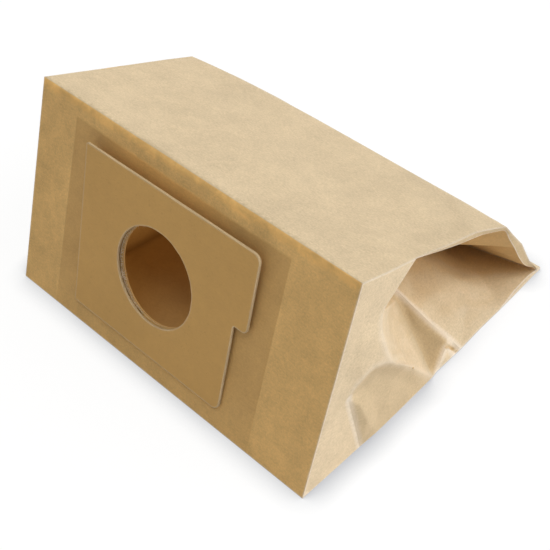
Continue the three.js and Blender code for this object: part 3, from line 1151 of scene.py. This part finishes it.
class DUSTBAG_OT_fold_paper(bpy.types.Operator):
    """Fold the bag's paper with its creases, gussets and glued far end"""

    bl_idname = "dust_bag.fold_paper"
    bl_label = "Fold Paper"

    def execute(self, context):
        paper = context.scene.dust_bag_paper
        collar = context.scene.dust_bag_collar
        net, smooth, panels = finished_net(paper, collar)
        mesh, triangles = facet_mesh("bag_paper", smooth, net.facets)
        normals = surface_normals(smooth, triangles)
        gaps = {
            kind: distance_to_lines(smooth, net.lines, {kind})
            for kind in (FOLD, BROW, PRESSED, RIDGE, CREASE)
        }
        places = swollen(paper, smooth, normals, triangles, panels, gaps)
        looks = weathering(paper, net, places, normals, triangles, panels, gaps)
        places[:, 2] = np.maximum(places[:, 2], 0.0)
        mesh.vertices.foreach_set("co", (places * MM).ravel())

        layer = mesh.uv_layers.new(name="sheet")
        layer.data.foreach_set("uv", [
            part
            for triangle, panel in zip(triangles, panels)
            for corner in triangle
            for part in sheet_layout(paper, smooth[corner] * MM, panel)
        ])
        for kind, distance in gaps.items():
            store(mesh, kind + "_mm", distance)
        for name, values in looks.items():
            store(mesh, name, values)
        mesh.polygons.foreach_set("material_index", (panels == FRONT).astype(np.int32))
        mesh.shade_smooth()
        hard = {pair for pair, kind in net.lines.items() if kind in (FOLD, PRESSED, CREASE)}
        sharp = mesh.attributes.new("sharp_edge", "BOOLEAN", "EDGE")
        sharp.data.foreach_set("value", [tuple(sorted(edge.vertices)) in hard for edge in mesh.edges])
        mesh.update()

        kraft = kraft_finish("kraft_paper", paper, paper.upper_colour)
        block = kraft_finish("kraft_block_bottom", paper, paper.block_colour, paper.patched_colour)
        lining = lining_finish("kraft_lining", paper.lining_colour, paper.lining_painted_glow)
        normal = (0.0, -math.cos(paper.lean), math.sin(paper.lean))
        cut = ply_finish("kraft_cut_edge", collar.cut_colour, normal)
        for material in (kraft, block, lining, lining, cut, cut):
            mesh.materials.append(material)
        bag = new_object("bag_paper", thickened(context, mesh, paper))
        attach(bag, "root")
        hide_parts("bag_body")
        return {"FINISHED"}


# Card plate round the middle of its hole, in metres
PLATE_LEFT, PLATE_RIGHT, BELOW_STEP_RIGHT = -0.0630, 0.0708, 0.0612
PLATE_FOOT, STEP_HEIGHT, PLATE_HEAD = -0.0523, 0.0060, 0.0545


def plate_point(paper, collar, x, up, out):
    """A point on the card, from its place across, up the block bottom and out of its back, in metres."""
    rise = (up - collar.hole_height - PLATE_FOOT) / (PLATE_HEAD - PLATE_FOOT)
    left = (collar.hole_offset + PLATE_RIGHT - x) / (PLATE_RIGHT - PLATE_LEFT)
    lift = collar.lift_right + (collar.lift_left - collar.lift_right) * left
    seat = 0.0003
    stand = seat + seat * rise + lift * max(rise, 0.0) ** 1.15 + out
    return (
        x,
        up * math.sin(paper.lean) - math.cos(paper.lean) * stand - paper.depth / 2,
        up * math.cos(paper.lean) + math.sin(paper.lean) * stand,
    )


def rounded_loop(corners, steps):
    """A closed outline through square corners, each (x, y, radius)."""
    loop = []
    for number, (x, y, radius) in enumerate(corners):
        here = Vector((x, y))
        last = Vector(corners[number - 1][:2])
        following = Vector(corners[(number + 1) % len(corners)][:2])
        start = here + (last - here).normalized() * radius
        end = here + (following - here).normalized() * radius
        middle = start + end - here
        for step in range(steps + 1):
            turn = step / steps * math.pi / 2
            loop.append(middle + (start - middle) * math.cos(turn) + (end - middle) * math.sin(turn))
    return loop


def inset_loop(loop, distance):
    """Moves a loop towards its left by a distance."""
    moved = []
    for number, here in enumerate(loop):
        run = (loop[(number + 1) % len(loop)] - loop[number - 1]).normalized()
        moved.append(here + Vector((-run.y, run.x)) * distance)
    return moved


def resampled(loop, step):
    """Points along a closed loop, about a step apart."""
    points = []
    for first, second in zip(loop, list(loop[1:]) + list(loop[:1])):
        count = max(1, round((second - first).length / step))
        points += [first.lerp(second, part / count) for part in range(count)]
    return points


class CardShape:
    """The card plate being cut: an outline and a hole, with softened edges and two faces."""

    # Rows of the cut wall, from the front face to the back one: how far inset, and at what height
    profile = ((0.00042, 1.0), (0.00016, 0.985), (0.0, 0.90), (0.0, 0.10), (0.00016, 0.015), (0.00042, 0.0))

    def __init__(self, paper, collar):
        self.paper = paper
        self.collar = collar
        self.shape = bmesh.new()
        self.rim_distance = self.shape.verts.layers.float.new("rim_mm")
        self.middle = Vector((collar.hole_offset, collar.hole_height))

    def vert(self, point, height, distance):
        out = self.collar.thickness * height
        made = self.shape.verts.new(plate_point(self.paper, self.collar, point.x, point.y, out))
        made[self.rim_distance] = distance
        return made

    def wall(self, loop):
        """Raises the cut wall along a loop, and returns its front and back rows."""
        rows = [
            [self.vert(point, height, 0.0) for point in inset_loop(loop, inset)]
            for inset, height in self.profile
        ]
        for upper, lower in zip(rows, rows[1:]):
            for number in range(len(upper)):
                after = (number + 1) % len(upper)
                face = self.shape.faces.new((upper[number], lower[number], lower[after], upper[after]))
                face.material_index = 1
                face.smooth = True
        return rows[0], rows[-1]

    def inner_points(self, outer, step=0.0048, margin=0.0022):
        """An even triangular grid that keeps clear of the outline and the hole."""
        rim = inset_loop(outer, margin)
        points = []
        for row in range(-14, 15):
            for column in range(-17, 18):
                point = self.middle + Vector(((column + 0.5 * (row % 2)) * step, row * step * 0.87))
                clear = (point - self.middle).length >= self.collar.hole_radius + margin
                if clear and inside_loop(point, rim):
                    points.append(point)
        return points

    def cut(self, outer, hole):
        """Makes both walls and both faces, and returns the mesh."""
        walls = [self.wall(loop) for loop in (outer, hole)]
        rims = [inset_loop(loop, self.profile[0][0]) for loop in (outer, hole)]
        band_inset = 0.0014
        bands = [point for loop in (outer, hole) for point in inset_loop(loop, band_inset)[::2]]
        first, both = len(outer), len(outer) + len(hole)
        edges = [(i, (i + 1) % first) for i in range(first)]
        edges += [(first + i, first + (i + 1) % len(hole)) for i in range(len(hole))]
        layout = rims[0] + rims[1] + bands + self.inner_points(outer)
        flat, _, faces, origins, _, _ = delaunay_2d_cdt(layout, edges, [], 0, 1e-7)
        for height, side in ((1.0, 0), (0.0, 1)):
            verts = {}
            for number, point in enumerate(flat):
                origin = origins[number][0]
                if origin < first:
                    verts[number] = walls[0][side][origin]
                elif origin < both:
                    verts[number] = walls[1][side][origin - first]
                else:
                    distance = band_inset / MM if origin < both + len(bands) else 5.0
                    verts[number] = self.vert(point, height, distance)
            for face in faces:
                centre = sum((flat[i] for i in face), Vector((0, 0))) / 3
                if inside_loop(centre, rims[0]) and (centre - self.middle).length > self.collar.hole_radius:
                    self.shape.faces.new([verts[i] for i in face]).smooth = True
        loose = [vert for vert in self.shape.verts if not vert.link_faces]
        bmesh.ops.delete(self.shape, geom=loose, context="VERTS")
        bmesh.ops.recalc_face_normals(self.shape, faces=self.shape.faces)
        mesh = bpy.data.meshes.new("collar_card")
        self.shape.to_mesh(mesh)
        self.shape.free()
        return mesh


class DUSTBAG_OT_cut_collar(bpy.types.Operator):
    """Cut the card collar with its step, round hole and softened edges"""

    bl_idname = "dust_bag.cut_collar"
    bl_label = "Cut Collar"

    def execute(self, context):
        paper = context.scene.dust_bag_paper
        collar = context.scene.dust_bag_collar
        card_shape = CardShape(paper, collar)
        middle = card_shape.middle
        outline = [
            (PLATE_LEFT, PLATE_FOOT, 0.0015), (BELOW_STEP_RIGHT, PLATE_FOOT, 0.0050),
            (BELOW_STEP_RIGHT, STEP_HEIGHT, 0.0012), (PLATE_RIGHT, STEP_HEIGHT, 0.0035),
            (PLATE_RIGHT, PLATE_HEAD, 0.0050), (PLATE_LEFT, PLATE_HEAD, 0.0015),
        ]
        outer = resampled([point + middle for point in rounded_loop(outline, 6)], 0.0022)
        turns = [2 * math.pi * step / 144 for step in range(144)]
        hole = [middle + Vector((math.cos(turn), -math.sin(turn))) * collar.hole_radius for turn in turns]
        mesh = card_shape.cut(outer, hole)

        # Its face leans out a little more than the paper behind it
        card_lean = paper.lean - 0.05
        normal = (0.0, -math.cos(card_lean), math.sin(card_lean))
        mesh.materials.append(card_finish("card_face", collar.card_colour))
        mesh.materials.append(ply_finish("card_cut_edge", collar.cut_colour, normal))
        card = new_object("collar_card", mesh)
        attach(card, "root")
        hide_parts("collar_plate")
        return {"FINISHED"}


class DUSTBAG_OT_finish_patch(bpy.types.Operator):
    """Give the reinforcing patch inside the block bottom its paper"""

    bl_idname = "dust_bag.finish_patch"
    bl_label = "Finish Patch"

    def execute(self, context):
        paper = context.scene.dust_bag_paper
        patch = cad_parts["inner_patch"]
        # The patch's paper carries the lining's painted glow
        finish = lining_finish("patch_paper", paper.lining_colour, paper.lining_painted_glow, folded=False)
        if not patch.material_slots:
            patch.data.materials.append(finish)
        for material_slot in patch.material_slots:
            material_slot.material = finish
        return {"FINISHED"}


def frayed_line(paper, collar):
    """A line along the left-hand rim of the hole, with how long the fibres are at each point."""
    start, sweep, steps = 118, 138, 60
    torn_place, torn_reach = 209, 6
    points, torn = [], []
    for step in range(steps + 1):
        degrees = start + sweep * step / steps
        turn = math.radians(degrees)
        torn.append(0.8 + 0.55 * math.exp(-((degrees - torn_place) / torn_reach) ** 2))
        x = collar.hole_offset + collar.hole_radius * 0.997 * math.cos(turn)
        up = collar.hole_height + collar.hole_radius * 0.997 * math.sin(turn)
        points.append(plate_point(paper, collar, x, up, -0.0006))
    mesh = bpy.data.meshes.new("rim_fibres")
    mesh.from_pydata(points, [(i, i + 1) for i in range(steps)], [])
    store(mesh, "torn", torn)
    return new_object("rim_line", mesh)


def fibre_finish(collar):
    """Pale torn fibres of the card."""
    finish = Finish("loose_fibres")
    fine = finish.grain(finish.place, 1500.0, 2.0)
    pale = shade(tuple(part * 0.7 + 0.3 for part in collar.cut_colour), 1.0)
    colours = finish.mixed((fine * 1.6 + 0.6).clamped(), shade(collar.cut_colour, 1.0), pale)
    return finish.done(colours, 0.9 + fine * 0.1, fine, 0.00005)


def fraying_tree(material, settings):
    """Geometry Nodes that set small tapering fibres, turned at random, along a line."""
    tree = bpy.data.node_groups.new("frayed_rim", "GeometryNodeTree")
    tree.interface.new_socket("Geometry", in_out="INPUT", socket_type="NodeSocketGeometry")
    tree.interface.new_socket("Geometry", in_out="OUTPUT", socket_type="NodeSocketGeometry")
    for name, (kind, value) in settings.items():
        socket = tree.interface.new_socket(name, in_out="INPUT", socket_type=kind)
        socket.default_value = value

    def node(kind, options=None, **inputs):
        made = tree.nodes.new(kind)
        for name, value in (options or {}).items():
            setattr(made, name, value)
        for name, value in inputs.items():
            socket = made.inputs[name.replace("_", " ")]
            if isinstance(value, bpy.types.NodeSocket):
                tree.links.new(value, socket)
            else:
                socket.default_value = value
        return made

    start = tree.nodes.new("NodeGroupInput").outputs
    curve = node("GeometryNodeMeshToCurve", Mesh=start["Geometry"])
    spots = node(
        "GeometryNodeCurveToPoints", {"mode": "COUNT"}, Curve=curve.outputs[0], Count=start["Fibre count"]
    )
    fibre = node(
        "GeometryNodeMeshCone", {"fill_type": "TRIANGLE_FAN"}, Vertices=5, Side_Segments=3,
        Radius_Top=0.00002, Radius_Bottom=start["Fibre radius"], Depth=start["Fibre length"],
    )
    turn = node("FunctionNodeRandomValue", {"data_type": "FLOAT_VECTOR"}, Seed=start["Seed"])
    turn.inputs[0].default_value = (-1.0, 0.5, -0.9)
    turn.inputs[1].default_value = (0.6, 2.3, 0.5)
    size = node("FunctionNodeRandomValue", {"data_type": "FLOAT"}, Seed=start["Seed"])
    size.inputs[2].default_value = 0.2
    size.inputs[3].default_value = 1.0
    torn = node("GeometryNodeInputNamedAttribute", {"data_type": "FLOAT"}, Name="torn")
    length = node("ShaderNodeMath", {"operation": "MULTIPLY"})
    tree.links.new(size.outputs[1], length.inputs[0])
    tree.links.new(torn.outputs[0], length.inputs[1])
    placed = node(
        "GeometryNodeInstanceOnPoints", Points=spots.outputs[0], Instance=fibre.outputs[0],
        Rotation=turn.outputs[0], Scale=length.outputs[0],
    )
    real = node("GeometryNodeRealizeInstances", Geometry=placed.outputs[0])
    painted = node("GeometryNodeSetMaterial", Geometry=real.outputs[0], Material=material)
    end = tree.nodes.new("NodeGroupOutput")
    tree.links.new(painted.outputs[0], end.inputs[0])
    return tree


class DUSTBAG_OT_fray_rim(bpy.types.Operator):
    """Scatter loose paper fibres along the left-hand rim of the hole"""

    bl_idname = "dust_bag.fray_rim"
    bl_label = "Fray Rim"

    def execute(self, context):
        paper = context.scene.dust_bag_paper
        collar = context.scene.dust_bag_collar
        settings = {
            "Fibre count": ("NodeSocketInt", collar.fibre_count),
            "Fibre length": ("NodeSocketFloat", collar.fibre_length),
            "Fibre radius": ("NodeSocketFloat", 0.00021),
            "Seed": ("NodeSocketInt", 11),
        }
        tree = fraying_tree(fibre_finish(collar), settings)
        line = frayed_line(paper, collar)
        scatter = line.modifiers.new("frayed_rim", "NODES")
        scatter.node_group = tree
        for item in tree.interface.items_tree:
            if item.in_out == "INPUT" and item.name in settings:
                scatter[item.identifier] = settings[item.name][1]
        context.view_layer.update()
        result = bpy.data.meshes.new_from_object(line.evaluated_get(context.evaluated_depsgraph_get()))
        bpy.data.objects.remove(line)
        if len(result.vertices) == 0:
            raise RuntimeError("the rim has no fibres")
        piece = new_object("rim_fibres", result)
        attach(piece, "root")
        return {"FINISHED"}


def pale_floor(stage):
    """A pale floor that shows the camera part of its real soft shadow and a painted contact shadow, lifted
    to white away from the object.
    """
    half, drop = 4.0, -0.0002
    corners = [(-half, -half, drop), (half, -half, drop), (half, half, drop), (-half, half, drop)]
    mesh = bpy.data.meshes.new("floor")
    mesh.from_pydata(corners, [], [(0, 1, 2, 3)])
    material = bpy.data.materials.new("pale_floor")
    material.use_nodes = True
    tree = material.node_tree
    tree.nodes.clear()

    def colour_mix(share, first, second):
        mix = tree.nodes.new("ShaderNodeMix")
        mix.data_type = "RGBA"
        join(tree, mix.inputs[0], share)
        join(tree, mix.inputs[6], first)
        join(tree, mix.inputs[7], second)
        return Wire(tree, mix.outputs[2])

    seen = Wire(tree, tree.nodes.new("ShaderNodeLightPath").outputs["Is Camera Ray"])
    plain = (*stage.floor_colour, 1.0)
    shaded = (*(part * stage.floor_share for part in stage.floor_colour), 1.0)
    matt = tree.nodes.new("ShaderNodeBsdfDiffuse")
    join(tree, matt.inputs["Color"], colour_mix(seen, plain, shaded))
    # Painted contact shadow: the camera's lift turns darker and cooler where ambient occlusion finds the bag
    # close by
    contact = tree.nodes.new("ShaderNodeAmbientOcclusion")
    contact.samples = 16
    contact.inputs["Distance"].default_value = 0.016
    open_floor = Wire(tree, contact.outputs["AO"])
    cool = (0.04, 0.07, 0.13, 1.0)
    glow = tree.nodes.new("ShaderNodeEmission")
    join(tree, glow.inputs["Color"], colour_mix(open_floor, cool, (1.0, 1.0, 1.0, 1.0)))
    join(tree, glow.inputs["Strength"], seen * stage.floor_lift)
    both = tree.nodes.new("ShaderNodeAddShader")
    tree.links.new(matt.outputs[0], both.inputs[0])
    tree.links.new(glow.outputs[0], both.inputs[1])
    end = tree.nodes.new("ShaderNodeOutputMaterial")
    tree.links.new(both.outputs[0], end.inputs["Surface"])
    mesh.materials.append(material)
    new_object("floor", mesh)


def studio_world(stage):
    """Even light all round, and a white backdrop for the camera."""
    world = bpy.data.worlds.new("studio")
    world.use_nodes = True
    tree = world.node_tree
    tree.nodes.clear()
    backdrop = tree.nodes.new("ShaderNodeBackground")
    seen = Wire(tree, tree.nodes.new("ShaderNodeLightPath").outputs["Is Camera Ray"])
    join(tree, backdrop.inputs["Strength"], stage.sky_strength + seen * (1.0 - stage.sky_strength))
    backdrop.inputs["Color"].default_value = (1.0, 1.0, 1.0, 1.0)
    end = tree.nodes.new("ShaderNodeOutputWorld")
    tree.links.new(backdrop.outputs[0], end.inputs["Surface"])
    return world


class DUSTBAG_OT_set_stage(bpy.types.Operator):
    """Set the pale floor, the soft lights and the camera"""

    bl_idname = "dust_bag.set_stage"
    bl_label = "Set Stage"

    def execute(self, context):
        stage = context.scene.dust_bag_stage
        scene = context.scene
        scene.view_settings.view_transform = "Standard"
        pale_floor(stage)
        scene.world = studio_world(stage)

        lamps = (
            ("upper_light", stage.upper_direction, stage.upper_strength, (1.0, 0.975, 0.87)),
            ("side_light", stage.side_direction, stage.side_strength, (1.0, 1.03, 1.12)),
        )
        for name, direction, strength, colour in lamps:
            lamp = bpy.data.lights.new(name, "SUN")
            lamp.energy = strength
            lamp.color = colour
            lamp.angle = stage.light_width
            light = new_object(name, lamp)
            light.location = Vector(direction) * 1.5
            light.rotation_euler = Vector(direction).to_track_quat("Z", "Y").to_euler()

        lens = bpy.data.cameras.new("photo_camera")
        lens.lens = stage.focal_length
        lens.sensor_width = 36.0
        lens.sensor_height = 36.0
        camera = new_object("photo_camera", lens)
        camera.location = stage.camera_place
        camera.rotation_euler = Euler(stage.camera_turn, "XYZ")
        scene.camera = camera
        return {"FINISHED"}


class DUSTBAG_PT_sidebar(bpy.types.Panel):
    """The dust bag's pieces, in the order in which they are made"""

    bl_idname = "DUSTBAG_PT_sidebar"
    bl_label = "Dust Bag"
    bl_space_type = "VIEW_3D"
    bl_region_type = "UI"
    bl_category = "Dust Bag"

    def draw(self, context):
        for group, operators in (
            ("dust_bag_paper", (DUSTBAG_OT_fold_paper, DUSTBAG_OT_finish_patch)),
            ("dust_bag_collar", (DUSTBAG_OT_cut_collar, DUSTBAG_OT_fray_rim)),
            ("dust_bag_stage", (DUSTBAG_OT_set_stage,)),
        ):
            box = self.layout.box()
            settings = getattr(context.scene, group)
            for name in settings.bl_rna.properties.keys():
                if name not in ("rna_type", "name"):
                    box.prop(settings, name)
            for operator in operators:
                box.operator(operator.bl_idname)


CLASSES = (
    DustBagPaper,
    DustBagCollar,
    DustBagStage,
    DUSTBAG_OT_fold_paper,
    DUSTBAG_OT_cut_collar,
    DUSTBAG_OT_finish_patch,
    DUSTBAG_OT_fray_rim,
    DUSTBAG_OT_set_stage,
    DUSTBAG_PT_sidebar,
)


def register():
    for kind in CLASSES:
        bpy.utils.register_class(kind)
    bpy.types.Scene.dust_bag_paper = PointerProperty(type=DustBagPaper)
    bpy.types.Scene.dust_bag_collar = PointerProperty(type=DustBagCollar)
    bpy.types.Scene.dust_bag_stage = PointerProperty(type=DustBagStage)


def unregister():
    del bpy.types.Scene.dust_bag_stage
    del bpy.types.Scene.dust_bag_collar
    del bpy.types.Scene.dust_bag_paper
    for kind in reversed(CLASSES):
        bpy.utils.unregister_class(kind)


def main():
    register()
    bpy.ops.dust_bag.set_stage()
    bpy.ops.dust_bag.fold_paper()
    bpy.ops.dust_bag.cut_collar()
    bpy.ops.dust_bag.finish_patch()
    bpy.ops.dust_bag.fray_rim()


if __name__ == "__main__":
    main()
